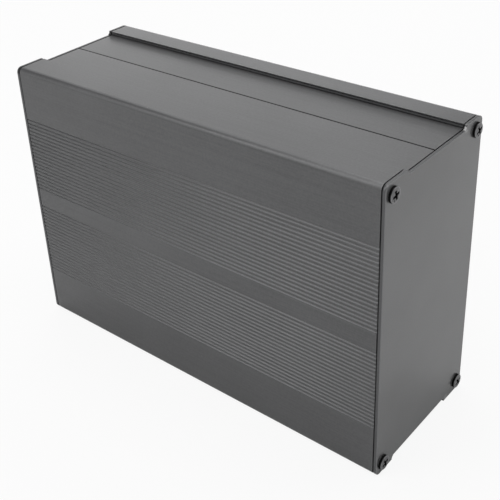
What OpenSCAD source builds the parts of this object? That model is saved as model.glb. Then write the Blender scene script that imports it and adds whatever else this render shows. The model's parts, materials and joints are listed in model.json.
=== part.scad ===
// Split-body extruded aluminium enclosure.
// X runs along the extrusion, Y runs from the front shell to the rear shell
// and Z is up. The case stands on one narrow side, with its origin in the
// middle of its footprint. The two shells are cut from one extrusion: the
// rear one is the front one given half a turn about the case's long axis.
// All sizes are in millimetres.

/* [Case] */
// Length of the two shells
shell_length = 150; // [60:1:300]
// Width across the broad faces, which is the height of the standing case
case_width = 105; // [100:0.5:150]
// Depth from the front face to the rear face
case_depth = 55; // [52:0.5:90]
// Radius of the four long outer corners
corner_radius = 2; // [1:0.1:2.5]
// Thickness of the two end plates
plate_thickness = 1.5; // [1.2:0.1:3]

/* [Shell walls] */
// Thickness of the broad front and rear walls
face_wall = 2.2; // [1.6:0.1:3]
// Thickness of the narrow side walls under the channel
side_wall = 2; // [1.6:0.1:3]

/* [Grooved bands] */
// Number of fine grooves in each of the two bands on a broad face
groove_count = 20; // [4:1:22]
// Distance from one groove to the next
groove_pitch = 1.5; // [1.2:0.05:1.55]
// Width of a groove at the surface, twice its depth
groove_width = 0.7; // [0.4:0.05:0.9]
// Distance of the first groove from the middle of the face
band_start = 4; // [2:0.25:8]

/* [Side channel] */
// Width of the shallow channel along each narrow side
channel_width = 34; // [30:0.5:36]
// Depth of that channel
channel_depth = 1.5; // [1.4:0.1:2.5]
// Distance of the shells' joint from the middle of the depth
joint_offset = 1; // [0:0.1:2]
// Height of the thin lip along the top of each channel wall
lip_height = 0.3; // [0.2:0.05:0.4]
// Height of the slot under that lip
lip_slot_height = 0.35; // [0.25:0.05:0.5]
// Height of the slot along the foot of each channel wall
foot_slot_height = 0.25; // [0.2:0.05:0.45]
// Depth of both slots into the wall
slot_depth = 0.6; // [0.4:0.1:1.2]

/* [Shell joint] */
// Length of the tongue on each shell's short side
tongue_length = 2.4; // [1.5:0.1:3]
// Thickness of the tongue
tongue_thickness = 1; // [0.8:0.1:1.2]
// Clearance all round the tongue in its groove
tongue_clearance = 0.1; // [0.05:0.05:0.2]
// Width of the fine line left open along the joint
seam_width = 0.35; // [0.2:0.05:0.5]
// Depth of that line
seam_depth = 0.6; // [0.3:0.05:0.7]

/* [Card slots] */
// Number of card slots in each shell
card_slot_count = 2; // [1:1:2]
// Distance of the first card slot from the middle of the depth
card_slot_start = 11; // [10:0.5:12]
// Distance from one card slot to the next
card_slot_pitch = 6.5; // [5:0.5:6.5]
// Width of a card slot, for a 1.6 mm board
card_slot_width = 1.8; // [1.2:0.1:2]
// Thickness of the rails beside a card slot
rail_thickness = 1.2; // [0.8:0.1:1.4]
// Height of those rails
rail_height = 2.5; // [1.5:0.1:3]

/* [Screws] */
// Distance of a screw from the nearest broad face
screw_inset = 3.6; // [3.5:0.1:4.5]
// Distance of a screw from the end of the broad face
screw_drop = 3.9; // [3.8:0.1:5]
// Largest diameter of the screw's thread
thread_diameter = 2.9; // [2.6:0.1:3.1]
// Diameter of the core under the thread
core_diameter = 2.1; // [2:0.1:2.3]
// Distance from one thread to the next
thread_pitch = 1.1; // [0.8:0.05:1.4]
// Number of turns of thread
thread_turns = 8; // [4:1:12]
// Diameter of the low pan head
head_diameter = 5; // [4.8:0.1:5.6]
// Height of the head
head_height = 1.1; // [0.8:0.1:1.6]
// Radius of the head's rounded shoulder
head_shoulder = 0.3; // [0.2:0.05:0.5]
// Radius of the slight dome on the head
head_dome = 16; // [12:1:30]
// Width across the cross recess
recess_span = 3.1; // [2.4:0.1:3.3]
// Width of each arm of the cross
recess_arm = 0.9; // [0.6:0.1:1]
// Depth of the cross recess
recess_depth = 1.2; // [0.9:0.1:1.4]
// Radius of the small round mark on the head
mark_radius = 0.3; // [0.1:0.05:0.35]
// Distance of that mark from the middle of the head
mark_place = 1.5; // [1.3:0.1:1.6]
// Radius of the bore that the thread runs in, less the thread's radius
bore_clearance = 0.05; // [0.05:0.05:0.1]
// Wall round each bore
port_wall = 1.4; // [1:0.1:1.6]
// Width of the gap along the inner side of each bore
port_gap = 1.8; // [1:0.1:2.2]

/* [End plate] */
// Diameter of the plate's screw holes
plate_hole = 3.3; // [3.2:0.1:3.8]
// Width of the slope at each end of the plate's corner tabs
tab_slope = 0.8; // [0.2:0.1:1.4]
// Width and depth of the relief round the plate's inner edge
relief = 0.35; // [0.2:0.05:0.5]

/* [Hidden] */
$fn = 48;

half_length = shell_length / 2;
half_width = case_width / 2;
half_depth = case_depth / 2;
channel_floor = half_width - channel_depth;
inner_half_width = channel_floor - side_wall;
screw_y = half_depth - screw_inset;
screw_z = half_width - screw_drop;
bore_radius = thread_diameter / 2 + bore_clearance;
thread_length = (thread_turns + 1) * thread_pitch;

// The joint's outer lip is as thick as its tongue, and so is the rail that
// closes the groove on the inner side.
groove_height = tongue_thickness + 2 * tongue_clearance;
joint_thickness = 2 * tongue_thickness + groove_height;
joint_length = 2 * tongue_length;

shell_colour = [0.20, 0.20, 0.21];
plate_colour = [0.23, 0.23, 0.24];
screw_colour = [0.08, 0.08, 0.09];

// Sections are drawn with the case's Y across and its Z up, from the middle
// of the case, and stand on X here.
module along_x(start, length) {
    translate([start, 0, half_width])
        rotate([90, 0, 90])
            linear_extrude(length) children();
}

module rounded_rectangle(width, height, radius) {
    square([width - 2 * radius, height], center = true);
    square([width, height - 2 * radius], center = true);
    for (x = [-1, 1], y = [-1, 1])
        translate([x * (width / 2 - radius), y * (height / 2 - radius)])
            circle(radius);
}

// Children are drawn once for the upper side, with $side at 1, and once for
// the lower side, with $side at -1. They are measured across from the joint.
module each_side() {
    for ($side = [1, -1])
        translate([$side * joint_offset, 0]) children();
}

// A rectangle across from y1 to y2, between the heights z1 and z2 above the
// middle of the case, or as far below it on the lower side.
module side_rectangle(y1, y2, z1, z2) {
    translate([y1, min($side * z1, $side * z2)]) square([y2 - y1, z2 - z1]);
}

// Children are drawn at the front shell's two ports, with $side as above.
module each_port() {
    for ($side = [1, -1])
        translate([-screw_y, $side * screw_z]) children();
}

// The outline of the closed case, shrunk by inset, with its side channels
// narrowing by slope at their floor.
module case_outline(inset = 0, slope = 0) {
    top = channel_width / 2 + inset;
    floor_z = channel_floor - inset;
    difference() {
        rounded_rectangle(
            case_depth - 2 * inset, case_width - 2 * inset, corner_radius - inset
        );
        each_side() {
            side_rectangle(-top, top, floor_z + slope, case_width);
            if (slope > 0)
                for (end = [-1, 1])
                    polygon([
                        [0, $side * floor_z],
                        [end * (top - slope), $side * floor_z],
                        [end * top, $side * (floor_z + slope)],
                        [0, $side * (floor_z + slope)],
                    ]);
        }
    }
}

// Two bands of V grooves, one each side of the middle of the front face.
module face_grooves() {
    for (side = [-1, 1], i = [0 : groove_count - 1])
        translate([-half_depth, side * (band_start + i * groove_pitch)])
            rotate(45) square(groove_width / sqrt(2), center = true);
}

// Two slots in the channel wall, under its lip and along its foot.
module channel_slots() {
    back = -channel_width / 2 - slot_depth;
    lip = half_width - lip_height;
    each_side() {
        side_rectangle(back, back + 2 * slot_depth, lip - lip_slot_height, lip);
        side_rectangle(
            back, back + 2 * slot_depth, channel_floor, channel_floor + foot_slot_height
        );
    }
}

// Pairs of rails inside the side walls, each pair holding a board's edge.
module card_rails() {
    for (i = [0 : card_slot_count - 1], side = [-1, 1], rail = [-1, 1])
        translate([
            -card_slot_start - i * card_slot_pitch
                + rail * (card_slot_width + rail_thickness) / 2,
            side * (inner_half_width - rail_height / 2 + side_wall / 4),
        ])
            square([rail_thickness, rail_height + side_wall / 2], center = true);
}

// The thickened end of each side wall, where the shells meet.
module joint_ends() {
    each_side()
        side_rectangle(-joint_length, 0, channel_floor - joint_thickness, channel_floor);
}

module joint_groove() {
    translate([
        joint_offset - tongue_length - tongue_clearance,
        channel_floor - tongue_thickness - groove_height,
    ])
        square([2 * tongue_length, groove_height]);
}

module joint_tongue() {
    translate([
        -joint_offset - tongue_length,
        -channel_floor + tongue_thickness + tongue_clearance,
    ])
        square([2 * tongue_length, tongue_thickness]);
}

// The fine line along the joint: each shell gives up half of its width.
module seam_lines() {
    each_side()
        side_rectangle(-seam_width / 2, seam_width, channel_floor - seam_depth, half_width);
}

module screw_ports() {
    each_port() circle(bore_radius + port_wall);
}

// The bores, each open along a gap that faces the inside of the case.
module port_bores() {
    each_port() {
        circle(bore_radius);
        rotate($side * -45)
            translate([0, -port_gap / 2])
                square([bore_radius + 2 * port_wall, port_gap]);
    }
}

// The front shell's side of the stepped line on which the shells part.
module front_half() {
    each_side() side_rectangle(-case_depth, 0, 0, case_width);
}

module shell_section() {
    difference() {
        intersection() {
            union() {
                difference() {
                    case_outline();
                    square(
                        [case_depth - 2 * face_wall, 2 * inner_half_width],
                        center = true
                    );
                }
                screw_ports();
                card_rails();
                joint_ends();
            }
            front_half();
        }
        port_bores();
        face_grooves();
        channel_slots();
        joint_groove();
        seam_lines();
    }
    joint_tongue();
}

module front_shell() {
    color(shell_colour)
        along_x(-half_length, shell_length) shell_section();
}

module rear_shell() {
    color(shell_colour)
        along_x(-half_length, shell_length) rotate(180) shell_section();
}

module plate_section(inset) {
    difference() {
        case_outline(inset, tab_slope);
        for (y = [-1, 1], z = [-1, 1])
            translate([y * screw_y, z * screw_z]) circle(d = plate_hole);
    }
}

module right_end_plate() {
    color(plate_colour) {
        along_x(half_length, plate_thickness) plate_section(relief);
        along_x(half_length + relief, plate_thickness - relief) plate_section(0);
    }
}

module left_end_plate() {
    mirror([1, 0, 0]) right_end_plate();
}

// A cross that narrows towards its floor, cut down from z = 0.
module cross_recess() {
    intersection() {
        for (turn = [0, 90])
            rotate(turn)
                cube([recess_span, recess_arm, 2 * recess_depth], center = true);
        translate([0, 0, -recess_depth])
            cylinder(
                h = recess_depth + head_height,
                r1 = recess_arm / 2,
                r2 = recess_arm / 2 + recess_span * (1 + head_height / recess_depth) / 2
            );
    }
}

// A head whose dome runs into its rounded shoulder.
module pan_head() {
    inner = head_diameter / 2 - head_shoulder;
    dome_edge = head_height - head_dome + sqrt(pow(head_dome, 2) - pow(inner, 2));
    intersection() {
        rotate_extrude() {
            square([inner, head_height]);
            square([head_diameter / 2, dome_edge - head_shoulder]);
            translate([inner, dome_edge - head_shoulder])
                intersection() {
                    circle(head_shoulder);
                    square(head_shoulder);
                }
        }
        translate([0, 0, head_height - head_dome]) sphere(head_dome, $fn = 96);
    }
}

// The threaded shank: rings stand for the turns of its thread.
module shank() {
    core = core_diameter / 2;
    crest = thread_diameter / 2;
    rings = [
        for (i = [0 : thread_turns - 1], step = [
            [core, 0.3], [crest, 0.6], [crest, 0.7], [core, 1],
        ])
            [step[0], -(i + step[1]) * thread_pitch]
    ];
    rotate_extrude()
        polygon(concat(
            [[0, 0], [core, 0]],
            rings,
            [[core / 2, -thread_length], [0, -thread_length]]
        ));
}

// A pan head screw on Z, seated at z = 0, its cross turned by turn.
module pan_head_screw(turn) {
    color(screw_colour) {
        rotate(turn)
            difference() {
                pan_head();
                translate([0, 0, head_height]) cross_recess();
                rotate(-45)
                    translate([mark_place, 0, head_height]) sphere(mark_radius);
            }
        shank();
    }
}

// A screw seated on the end plate: end, face and level are each -1 or 1, for
// the left or right plate, the front or rear shell, and the bottom or top.
module end_screw(end, face, level, turn) {
    translate([
        end * (half_length + plate_thickness),
        face * screw_y,
        half_width + level * screw_z,
    ])
        rotate([0, end * 90, 0]) pan_head_screw(turn);
}

module screw_left_front_top() { end_screw(-1, -1, 1, 12); }
module screw_left_front_bottom() { end_screw(-1, -1, -1, 55); }
module screw_left_rear_top() { end_screw(-1, 1, 1, 31); }
module screw_left_rear_bottom() { end_screw(-1, 1, -1, 78); }
module screw_right_front_top() { end_screw(1, -1, 1, 15); }
module screw_right_front_bottom() { end_screw(1, -1, -1, 22); }
module screw_right_rear_top() { end_screw(1, 1, 1, 27); }
module screw_right_rear_bottom() { end_screw(1, 1, -1, 35); }

front_shell();
rear_shell();
left_end_plate();
right_end_plate();
screw_left_front_top();
screw_left_front_bottom();
screw_left_rear_top();
screw_left_rear_bottom();
screw_right_front_top();
screw_right_front_bottom();
screw_right_rear_top();
screw_right_rear_bottom();
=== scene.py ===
import json
import math

import bmesh
import bpy
from mathutils import Matrix, Vector


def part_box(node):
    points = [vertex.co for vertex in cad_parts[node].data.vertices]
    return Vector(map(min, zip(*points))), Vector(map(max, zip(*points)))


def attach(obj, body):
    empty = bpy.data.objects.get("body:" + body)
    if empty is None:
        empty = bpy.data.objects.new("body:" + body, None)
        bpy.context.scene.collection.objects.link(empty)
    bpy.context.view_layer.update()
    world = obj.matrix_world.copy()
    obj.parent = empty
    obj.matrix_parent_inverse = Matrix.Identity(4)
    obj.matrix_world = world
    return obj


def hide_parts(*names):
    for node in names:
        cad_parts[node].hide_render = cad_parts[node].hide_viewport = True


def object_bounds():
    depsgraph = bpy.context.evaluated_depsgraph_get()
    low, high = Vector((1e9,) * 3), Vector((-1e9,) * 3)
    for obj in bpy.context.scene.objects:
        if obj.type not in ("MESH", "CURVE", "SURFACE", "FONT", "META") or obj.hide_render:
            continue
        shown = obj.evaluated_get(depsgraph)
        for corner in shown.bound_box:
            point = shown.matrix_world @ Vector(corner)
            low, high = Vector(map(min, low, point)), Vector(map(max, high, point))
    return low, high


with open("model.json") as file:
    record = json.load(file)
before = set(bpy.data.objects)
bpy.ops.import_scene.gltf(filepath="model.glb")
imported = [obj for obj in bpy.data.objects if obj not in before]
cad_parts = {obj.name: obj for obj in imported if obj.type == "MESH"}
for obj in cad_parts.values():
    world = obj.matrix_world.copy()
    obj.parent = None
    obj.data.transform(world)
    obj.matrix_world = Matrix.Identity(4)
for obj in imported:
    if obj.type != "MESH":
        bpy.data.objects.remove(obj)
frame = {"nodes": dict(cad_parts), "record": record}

# Split-body extruded aluminium enclosure: two shells cut from one black
# anodised extrusion, two flat end plates and eight black pan head screws.
# Every piece is its CAD node, with the edges of shells and plates broken.
# All sizes are in metres. X runs along the extrusion, Y from the front shell
# to the rear one, and Z up.

MM = 0.001

CAD_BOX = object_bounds()
MIDDLE = (CAD_BOX[0] + CAD_BOX[1]) / 2
PLATE_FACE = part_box("right_end_plate")[1].x


# ---------------------------------------------------------------- pieces

# Corners closer than WELD are one, and faces that meet at less than FLAT are
# one face. Two faces of a curved wall meet at less than SHARP, and the faces
# of a real edge at more.
WELD = 0.0005 * MM
FLAT = math.radians(0.5)
SHARP = math.radians(28)

# How far each kind of edge is broken, and how many flats round it off. A
# plate's arrises are the edges that come within ARRIS_REACH of its outer face.
SHELL_EDGE, SHELL_FLATS = 0.06 * MM, 2
PLATE_ARRIS, ARRIS_FLATS = 0.20 * MM, 3
PLATE_EDGE, PLATE_FLATS = 0.12 * MM, 2
ARRIS_REACH = 0.3 * MM


def welded(node):
    """A copy of a node's mesh, with its corners welded and its faces whole."""
    bm = bmesh.new()
    bm.from_mesh(frame["nodes"][node].data)
    bmesh.ops.remove_doubles(bm, verts=bm.verts, dist=WELD)
    bmesh.ops.dissolve_limit(
        bm, angle_limit=FLAT, use_dissolve_boundaries=False,
        verts=bm.verts, edges=bm.edges, delimit=set(),
    )
    return bm


def break_edges(bm, offset, segments, chosen=lambda edge: True):
    """Rounds the sharp edges that are chosen."""
    sharp = [
        edge for edge in bm.edges
        if edge.calc_face_angle(0.0) > SHARP and chosen(edge)
    ]
    bmesh.ops.bevel(
        bm, geom=sharp, offset=offset, offset_type="OFFSET", segments=segments,
        profile=0.5, affect="EDGES", clamp_overlap=False, material=-1,
    )


def finish_piece(bm, name, node, material):
    """Makes a bmesh the piece that stands for a node."""
    bmesh.ops.remove_doubles(bm, verts=bm.verts, dist=WELD)
    for face in bm.faces:
        face.smooth = True
    mesh = bpy.data.meshes.new(name)
    bm.to_mesh(mesh)
    bm.free()
    mesh.set_sharp_from_angle(angle=SHARP)
    mesh.materials.append(material)
    piece = bpy.data.objects.new(name, mesh)
    bpy.context.scene.collection.objects.link(piece)
    weighted = piece.modifiers.new("flat_faces_first", "WEIGHTED_NORMAL")
    weighted.keep_sharp = True
    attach(piece, "root")
    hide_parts(node)


def body_shell(node, material):
    """A shell with all its edges broken."""
    bm = welded(node)
    break_edges(bm, SHELL_EDGE, SHELL_FLATS)
    finish_piece(bm, f"{node}_anodised", node, material)


def end_plate(node, material):
    """A plate with its arrises rounded more than its other edges."""

    def is_arris(edge):
        return any(abs(vert.co.x) > PLATE_FACE - ARRIS_REACH for vert in edge.verts)

    bm = welded(node)
    break_edges(bm, PLATE_ARRIS, ARRIS_FLATS, is_arris)
    break_edges(bm, PLATE_EDGE, PLATE_FLATS, lambda edge: not is_arris(edge))
    finish_piece(bm, f"{node}_anodised", node, material)


def pan_head_screw(node, material):
    """A screw, whose edges are as the CAD has them."""
    finish_piece(welded(node), f"{node}_blackened", node, material)


# ------------------------------------------------------------- materials

# Where a pair of numbers is given, a mask rises from 0 to 1 between them.

# The noise between which a finish goes from its dark colour to its light one.
TONE = (0.3, 0.7)

# The line between the shells, with painted shade in its deep gap and a painted
# dark reflection along its edges: the depths below the channel's floor at which
# the painted shade begins, and how far to each side of its middle it reaches.
SEAM_DEPTH = (-0.02 * MM, 0.0)
SEAM_REACH = (0.22 * MM, 0.42 * MM)

EXTRUSION_DARK = (0.113, 0.114, 0.116)
EXTRUSION_LIGHT = (0.152, 0.153, 0.156)
EXTRUSION_FLECK = (0.24, 0.24, 0.24)
# Painted shade for the line between the shells.
SEAM_PAINTED_SHADE = (0.015, 0.015, 0.015)

# An end plate: the depths below its outer face at which the painted highlight
# on the arris, the cut side and the painted shade on the step against the
# shells begin.
ARRIS_HIGHLIGHT_DEPTH = (0.005 * MM, 0.03 * MM)
CUT_SIDE = (0.17 * MM, 0.20 * MM)
STEP_SHADE_DEPTH = (1.02 * MM, 1.08 * MM)

# A plate's edge along a narrow side of the case lies NARROW_SIDE from the
# middle. There the left plate's painted shade on the step is wider than the
# right one's by LEFT_NARROW, and along the broad sides by LEFT_BROAD, so it is
# narrower.
NARROW_SIDE = (50.2 * MM, 50.6 * MM)
LEFT_NARROW = 0.55 * MM
LEFT_BROAD = -0.35 * MM

# The roots of the plates' rear tabs are painted lighter in patches: how far
# they lie behind the middle, how far the lighter patches reach to each side,
# and the depth at which they end, just short of the painted shade on the step.
TAB_ROOT = 17.3 * MM
TAB_LIGHT_REACH = (0.5 * MM, 1.0 * MM)
TAB_LIGHT_END = (0.9 * MM, 1.0 * MM)

PLATE_DARK = (0.176, 0.177, 0.179)
PLATE_LIGHT = (0.210, 0.211, 0.214)
PLATE_CUT = (0.113, 0.114, 0.117)
# Painted shade on the plates' step against the shells.
STEP_PAINTED_SHADE = (0.03, 0.03, 0.031)
# A painted highlight along the plates' arrises.
ARRIS_HIGHLIGHT_GREY = (0.24, 0.24, 0.245)
# Lighter patches at the roots of the rear tabs.
TAB_ROOT_LIGHT = (0.36, 0.36, 0.36)

# A screw: the depths below its top at which the painted shade down the head's
# side and in the cross begins, and the distances from its middle at which the
# cross's painted shade ends and the painted highlight on the rim begins.
HEAD_SIDE_SHADE = (0.28 * MM, 0.36 * MM)
CROSS_SHADE_DEPTH = (0.12 * MM, 0.2 * MM)
CROSS_SHADE_REACH = (1.75 * MM, 1.9 * MM)
HEAD_RIM_HIGHLIGHT = (2.1 * MM, 2.25 * MM)

# Painted shade down the heads' sides and in their crosses.
STEEL_PAINTED_SHADE = (0.007, 0.007, 0.007)
STEEL_TOP = (0.180, 0.180, 0.184)
# A painted highlight on the rim of each head.
STEEL_RIM_HIGHLIGHT = (0.23, 0.23, 0.235)

# On a Mix node, the place of the first of its two colours, and of its result.
FIRST_COLOUR = 6
MIXED_COLOUR = 2


class Value:
    """A number socket that Python's own operators work on."""

    def __init__(self, maker, socket):
        self.maker = maker
        self.socket = socket

    def _math(self, operation, *operands):
        return self.maker.number(
            "ShaderNodeMath", {"operation": operation}, dict(enumerate(operands))
        )

    def __add__(self, other):
        return self._math("ADD", self, other)

    def __radd__(self, other):
        return self._math("ADD", other, self)

    def __sub__(self, other):
        return self._math("SUBTRACT", self, other)

    def __rsub__(self, other):
        return self._math("SUBTRACT", other, self)

    def __mul__(self, other):
        return self._math("MULTIPLY", self, other)

    def __rmul__(self, other):
        return self._math("MULTIPLY", other, self)

    def __pow__(self, other):
        return self._math("POWER", self, other)

    def __abs__(self):
        return self._math("ABSOLUTE", self)

    def sign(self):
        return self._math("SIGN", self)

    def over(self, low, high):
        """0 below low and 1 above high, smoothly between."""
        return self.maker.number(
            "ShaderNodeMapRange", {"interpolation_type": "SMOOTHSTEP"},
            {"Value": self, "From Min": low, "From Max": high},
        )


class Maker:
    """Builds the nodes of one material, or of the world."""

    def __init__(self, owner):
        owner.use_nodes = True
        self.owner = owner
        self.tree = owner.node_tree
        self.tree.nodes.clear()

    def node(self, kind, settings=None, inputs=None):
        """Any node: its settings first, and then its values or links."""
        made = self.tree.nodes.new(kind)
        for key, value in (settings or {}).items():
            setattr(made, key, value)
        for key, value in (inputs or {}).items():
            if isinstance(value, Value):
                value = value.socket
            if isinstance(value, bpy.types.NodeSocket):
                self.tree.links.new(value, made.inputs[key])
            else:
                made.inputs[key].default_value = value
        return made

    def number(self, kind, settings=None, inputs=None, output=0):
        """A node's number output, by its place or its name."""
        return Value(self, self.node(kind, settings, inputs).outputs[output])

    def place(self, scale=(1, 1, 1)):
        """Object coordinates, stretched by scale."""
        source = self.node("ShaderNodeTexCoord").outputs["Object"]
        return self.node(
            "ShaderNodeMapping", {"vector_type": "POINT"},
            {"Vector": source, "Scale": scale},
        ).outputs["Vector"]

    def along(self, axis):
        """How far along X, Y or Z a point lies, in metres."""
        return self.number(
            "ShaderNodeSeparateXYZ", None, {"Vector": self.place()}, axis
        )

    def noise(self, size, stretch=(1, 1, 1), detail=2.0, roughness=0.5):
        """Noise from 0 to 1 whose grains are about size metres across."""
        return self.number(
            "ShaderNodeTexNoise", {"noise_dimensions": "3D"},
            {"Vector": self.place(tuple(1 / s for s in stretch)), "Scale": 1 / size,
             "Detail": detail, "Roughness": roughness},
        )

    def flecks(self, spacing, radius):
        """Sparse round flecks, 1 in their core and 0 between them."""
        distance = self.number(
            "ShaderNodeTexVoronoi", {"voronoi_dimensions": "3D", "feature": "F1"},
            {"Vector": self.place(), "Scale": 1 / spacing}, "Distance",
        )
        core = 0.4 * radius
        return 1 - distance.over(core / spacing, radius / spacing)

    def blend(self, factor, dark, light):
        """One colour to another by factor, each of them a tuple or a socket."""
        ends = {
            FIRST_COLOUR + place: (*colour, 1) if isinstance(colour, tuple) else colour
            for place, colour in enumerate((dark, light))
        }
        return self.node(
            "ShaderNodeMix", {"data_type": "RGBA", "blend_type": "MIX"},
            {"Factor": factor, **ends},
        ).outputs[MIXED_COLOUR]

    def bump(self, height, distance, strength):
        """The normal of a surface whose relief is distance metres high."""
        return self.node(
            "ShaderNodeBump", None,
            {"Height": height, "Distance": distance, "Strength": strength},
        ).outputs["Normal"]

    def seen_by(self, *kinds):
        """1 for the named kinds of ray, and 0 for the rest."""
        rays = self.node("ShaderNodeLightPath")
        others = 1.0
        for kind in kinds:
            others = others * (1 - Value(self, rays.outputs[f"Is {kind} Ray"]))
        return 1 - others

    def surface(self, **inputs):
        """The Principled shader on the output, and the finished material."""
        shader = self.node(
            "ShaderNodeBsdfPrincipled", {"distribution": "MULTI_GGX"},
            {key.replace("_", " "): value for key, value in inputs.items()},
        )
        self.node(
            "ShaderNodeOutputMaterial", None, {"Surface": shader.outputs["BSDF"]}
        )
        return self.owner


def channel_middle():
    """The point on the upper channel's floor where the shells meet."""
    mounts = {mount["name"]: mount for mount in frame["record"]["mounts"]}
    return Vector(mounts["upper_side_channel"]["pos_m"])


def anodised_extrusion():
    """Satin black anodising on an extrusion, with faint lengthwise die lines and painted
    shade along its seam.
    """
    m = Maker(bpy.data.materials.new("anodised_extrusion"))
    grain = m.noise(size=0.7 * MM, detail=4.0, roughness=0.65)
    lines = m.noise(size=0.35 * MM, stretch=(160, 1, 1), detail=3.0, roughness=0.6)
    cloud = m.noise(size=28 * MM)
    flecks = m.flecks(spacing=8 * MM, radius=0.2 * MM)
    tone = 0.35 * lines + 0.2 * cloud + 0.45 * grain
    metal = m.blend(tone.over(*TONE), EXTRUSION_DARK, EXTRUSION_LIGHT)

    # The lower channel is the upper one turned half a turn about X.
    joint = channel_middle()
    height = m.along("Z") - MIDDLE.z
    across = abs(m.along("Y") * height.sign() - joint.y)
    below = joint.z - MIDDLE.z - abs(height)
    # Painted shade in the gap between the shells, and a painted dark reflection beside it.
    seam = below.over(*SEAM_DEPTH) * (1 - across.over(*SEAM_REACH))
    return m.surface(
        Base_Color=m.blend(seam, m.blend(flecks, metal, EXTRUSION_FLECK), SEAM_PAINTED_SHADE),
        Metallic=0.5,
        Roughness=0.28 + 0.05 * cloud + 0.05 * lines,
        Normal=m.bump(0.7 * grain + 0.3 * lines, distance=0.008 * MM, strength=0.5),
    )


def anodised_plate():
    """Satin black anodising on a blanked plate, with a painted highlight along its arrises
    and painted shade on its step against the shells.
    """
    m = Maker(bpy.data.materials.new("anodised_plate"))
    grain = m.noise(size=0.5 * MM, detail=4.0, roughness=0.65)
    cloud = m.noise(size=22 * MM)
    tone = 0.5 * cloud + 0.5 * grain
    face = m.blend(tone.over(*TONE), PLATE_DARK, PLATE_LIGHT)

    depth = PLATE_FACE - abs(m.along("X"))
    side = depth.over(*CUT_SIDE)
    # Painted highlight along the arris.
    arris = depth.over(*ARRIS_HIGHLIGHT_DEPTH) * (1 - side)
    left = (-1 * m.along("X")).over(0.0, MM)
    narrow = abs(m.along("Z") - MIDDLE.z).over(*NARROW_SIDE)
    # Painted shade on the step against the shells, placed differently on the left plate.
    step = depth + left * (LEFT_NARROW * narrow + LEFT_BROAD * (1 - narrow))
    cut = m.blend(step.over(*STEP_SHADE_DEPTH), PLATE_CUT, STEP_PAINTED_SHADE)
    edged = m.blend(arris, m.blend(side, face, cut), ARRIS_HIGHLIGHT_GREY)

    # Lighter patches at the roots of the rear tabs.
    root = (1 - abs(m.along("Y") - TAB_ROOT).over(*TAB_LIGHT_REACH)) * narrow
    patchy = 0.55 + 0.45 * grain.over(0.4, 0.6)
    tab_light = root * (1 - step.over(*TAB_LIGHT_END)) * patchy
    return m.surface(
        Base_Color=m.blend(tab_light, edged, TAB_ROOT_LIGHT),
        Metallic=0.5,
        Roughness=0.26 + 0.06 * cloud,
        Normal=m.bump(grain, distance=0.006 * MM, strength=0.5),
    )


def blackened_steel():
    """Black steel, with painted shade down its head's side and in its cross, and a painted
    highlight on the rim of its top.
    """
    m = Maker(bpy.data.materials.new("blackened_steel"))
    grain = m.noise(size=0.15 * MM)
    cloud = m.noise(size=1.5 * MM)

    # The screws stand at the corners of a rectangle about the case's middle.
    low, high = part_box("screw_right_front_top")
    screw = (low + high) / 2
    across = abs(m.along("Y")) - abs(screw.y)
    upward = abs(m.along("Z") - MIDDLE.z) - abs(screw.z - MIDDLE.z)
    radius = (across * across + upward * upward) ** 0.5
    depth = high.x - abs(m.along("X"))
    # Painted shade down the head's side and in its cross recess.
    side = depth.over(*HEAD_SIDE_SHADE)
    cross = depth.over(*CROSS_SHADE_DEPTH) * (1 - radius.over(*CROSS_SHADE_REACH))
    unshaded_top = (1 - side) * (1 - cross)
    # Painted highlight around the rim of the head's top.
    rim = unshaded_top * radius.over(*HEAD_RIM_HIGHLIGHT)
    top = m.blend(unshaded_top * (0.86 + 0.14 * cloud), STEEL_PAINTED_SHADE, STEEL_TOP)
    return m.surface(
        Base_Color=m.blend(rim, top, STEEL_RIM_HIGHLIGHT),
        Metallic=0.9,
        Roughness=0.42 + 0.06 * cloud - 0.17 * unshaded_top,
        Normal=m.bump(grain, distance=0.003 * MM, strength=0.3),
    )


extrusion = anodised_extrusion()
plate = anodised_plate()
steel = blackened_steel()

for node_name in sorted(frame["nodes"]):
    if node_name.startswith("screw"):
        pan_head_screw(node_name, steel)
    elif node_name.endswith("plate"):
        end_plate(node_name, plate)
    else:
        body_shell(node_name, extrusion)


# ----------------------------------------------------- floor and lighting

# How far the floor reaches each way, and how far it lies under the case.
FLOOR_REACH = 4.0
FLOOR_GAP = 0.02 * MM

# Its own colour in the light, and how far it turns to plain white as the
# camera sees it and as metal mirrors it. The camera's share is kept below 1,
# so that the case's shadow stays.
FLOOR_PALE = (0.86, 0.86, 0.86, 1)
FLOOR_SEEN = 0.9
FLOOR_MIRRORED = 0.12
WHITE = (1, 1, 1, 1)

# The world's level for plain light, its level overhead as metal mirrors it,
# and the heights, as sines, between which the white horizon gives way to that.
AMBIENT = 0.2
CEILING = 0.2
HORIZON = (0.12, 0.36)

# The lamps stand this far from the middle of the case. For each: its name, its
# azimuth and elevation in degrees, its width and height, and its watts.
LAMP_DISTANCE = 1.2
LAMPS = (
    ("overhead_softbox", 0, 88, 1.0, 1.0, 7.3),
    ("back_left_softbox", -130, 25, 1.0, 0.7, 0.4),
    ("back_left_high_softbox", -130, 50, 1.0, 0.7, 2.5),
    ("back_low_softbox", -150, 12, 1.2, 0.3, 1.7),
    ("back_right_softbox", 140, 35, 1.0, 0.7, 1.5),
    ("front_left_softbox", -34, 40, 0.5, 0.85, 2.9),
)

# The camera: its angles in degrees, how far it stands back from the middle of
# the case, and how far it is then moved to its right and up.
CAMERA_AZIMUTH = 41.09
CAMERA_ELEVATION = 28.49
CAMERA_ROLL = -3.07
CAMERA_BACK = 330.3 * MM
CAMERA_RIGHT = -0.74 * MM
CAMERA_UP = 16.73 * MM


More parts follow.
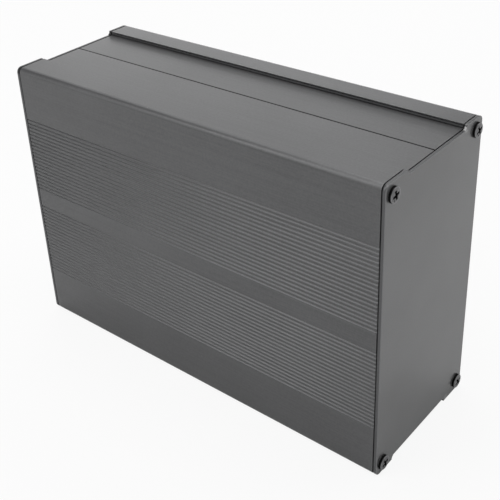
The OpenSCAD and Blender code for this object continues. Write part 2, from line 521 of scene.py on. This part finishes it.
def studio_floor():
    """A wide pale floor that shows white and keeps the case's shadow."""
    bm = bmesh.new()
    bmesh.ops.create_grid(bm, x_segments=1, y_segments=1, size=FLOOR_REACH)
    bmesh.ops.translate(bm, vec=(0, 0, CAD_BOX[0].z - FLOOR_GAP), verts=bm.verts)
    mesh = bpy.data.meshes.new("studio_floor")
    bm.to_mesh(mesh)
    bm.free()
    m = Maker(bpy.data.materials.new("white_paper"))
    matt = m.node("ShaderNodeBsdfDiffuse", None, {"Color": FLOOR_PALE})
    white = m.node("ShaderNodeEmission", None, {"Color": WHITE, "Strength": 1.0})
    mirrored = m.seen_by("Glossy", "Transmission")
    seen = FLOOR_SEEN * m.seen_by("Camera") + FLOOR_MIRRORED * mirrored
    mixed = m.node(
        "ShaderNodeMixShader", None, {0: seen, 1: matt.outputs[0], 2: white.outputs[0]}
    )
    m.node("ShaderNodeOutputMaterial", None, {"Surface": mixed.outputs[0]})
    mesh.materials.append(m.owner)
    floor = bpy.data.objects.new("studio_floor", mesh)
    bpy.context.scene.collection.objects.link(floor)


def studio_world():
    """A white horizon under a darker ceiling, and plain white to the camera."""
    world = bpy.data.worlds.new("studio_world")
    m = Maker(world)
    direction = m.node("ShaderNodeTexCoord").outputs["Generated"]
    height = m.number("ShaderNodeSeparateXYZ", None, {"Vector": direction}, "Z")
    ceiling = 1 - (1 - CEILING) * height.over(*HORIZON)
    mirrored = m.seen_by("Glossy", "Transmission") * ceiling
    rest = AMBIENT * (1 - m.seen_by("Camera", "Glossy", "Transmission"))
    light = m.node(
        "ShaderNodeBackground", None,
        {"Color": WHITE, "Strength": m.seen_by("Camera") + mirrored + rest},
    )
    m.node("ShaderNodeOutputWorld", None, {"Surface": light.outputs[0]})
    bpy.context.scene.world = world


def outward(azimuth, elevation):
    """The direction from the case towards angles in degrees, 0, 0 its front."""
    around, rise = math.radians(azimuth), math.radians(elevation)
    return Vector((
        math.sin(around) * math.cos(rise),
        -math.cos(around) * math.cos(rise),
        math.sin(rise),
    ))


def softbox(name, azimuth, elevation, width, height, power):
    """A rectangular lamp that looks at the middle of the case."""
    back = outward(azimuth, elevation)
    data = bpy.data.lights.new(name, "AREA")
    data.shape = "RECTANGLE"
    data.size = width
    data.size_y = height
    data.energy = power
    lamp = bpy.data.objects.new(name, data)
    lamp.location = MIDDLE + back * LAMP_DISTANCE
    lamp.rotation_mode = "QUATERNION"
    lamp.rotation_quaternion = back.to_track_quat("Z", "Y")
    bpy.context.scene.collection.objects.link(lamp)


def studio_camera():
    """Above and to the right of the front face, turned a little."""
    back = outward(CAMERA_AZIMUTH, CAMERA_ELEVATION)
    roll = math.radians(CAMERA_ROLL)
    level = Vector((0, 0, 1)).cross(back).normalized()
    upright = back.cross(level)
    right = math.cos(roll) * level + math.sin(roll) * upright
    up = math.cos(roll) * upright - math.sin(roll) * level
    place = MIDDLE + back * CAMERA_BACK + right * CAMERA_RIGHT + up * CAMERA_UP
    turned = Matrix((right, up, back)).transposed().to_4x4()
    data = bpy.data.cameras.new("studio_camera")
    data.sensor_fit = "HORIZONTAL"
    data.sensor_width = 36
    data.lens = 66.82
    data.shift_x = 0.03
    data.shift_y = -0.144
    data.clip_start = 0.01
    data.clip_end = 20
    camera = bpy.data.objects.new("studio_camera", data)
    camera.matrix_world = Matrix.Translation(place) @ turned
    bpy.context.scene.collection.objects.link(camera)
    bpy.context.scene.camera = camera


studio_floor()
studio_world()
for lamp_values in LAMPS:
    softbox(*lamp_values)
studio_camera()
bpy.context.scene.view_settings.view_transform = "Standard"
